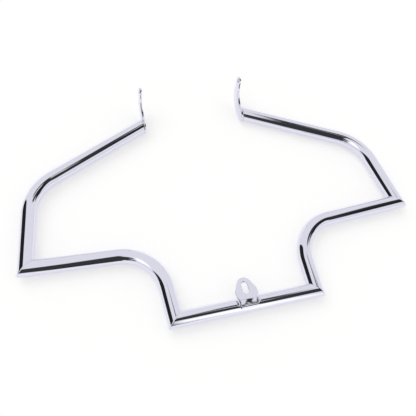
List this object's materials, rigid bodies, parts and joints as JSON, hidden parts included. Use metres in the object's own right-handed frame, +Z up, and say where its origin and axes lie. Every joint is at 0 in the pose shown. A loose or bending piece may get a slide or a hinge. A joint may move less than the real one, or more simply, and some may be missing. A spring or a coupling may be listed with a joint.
{
  "type": "motorcycle crash bars",
  "caption": "Chrome-plated motorcycle engine guard of bent and mitred round tube, with hooked upper brackets and a slotted centre lug.",
  "frame": {"origin": "on the ground, below the middle of the frame's outline, as it lies flat", "axes": "+X across the machine to the right arm, +Y from the centre tube towards the upper brackets, +Z up from the ground"},
  "size_m": [0.8628, 0.544, 0.0874],
  "materials": {
    "tube_chrome": "polished chrome plate over ground steel tube",
    "bracket_chrome": "chrome plate over sheared plate, slightly less polished than the tube",
    "weld_chrome": "chrome plate over ground or rippled weld metal"
  },
  "bodies": {
    "root": {"centre_tube": "tube_chrome", "left_shoulder_tube": "tube_chrome", "right_shoulder_tube": "tube_chrome", "left_arm_tube": "tube_chrome", "right_arm_tube": "tube_chrome", "left_upper_bracket": "bracket_chrome", "right_upper_bracket": "bracket_chrome", "centre_bracket": "bracket_chrome", "left_lower_weld": "weld_chrome", "right_lower_weld": "weld_chrome", "left_outer_weld": "weld_chrome", "right_outer_weld": "weld_chrome", "left_end_weld": "weld_chrome", "right_end_weld": "weld_chrome", "foot_left_weld": "weld_chrome", "foot_right_weld": "weld_chrome", "foot_front_weld": "weld_chrome"}
  },
  "joints": []
}
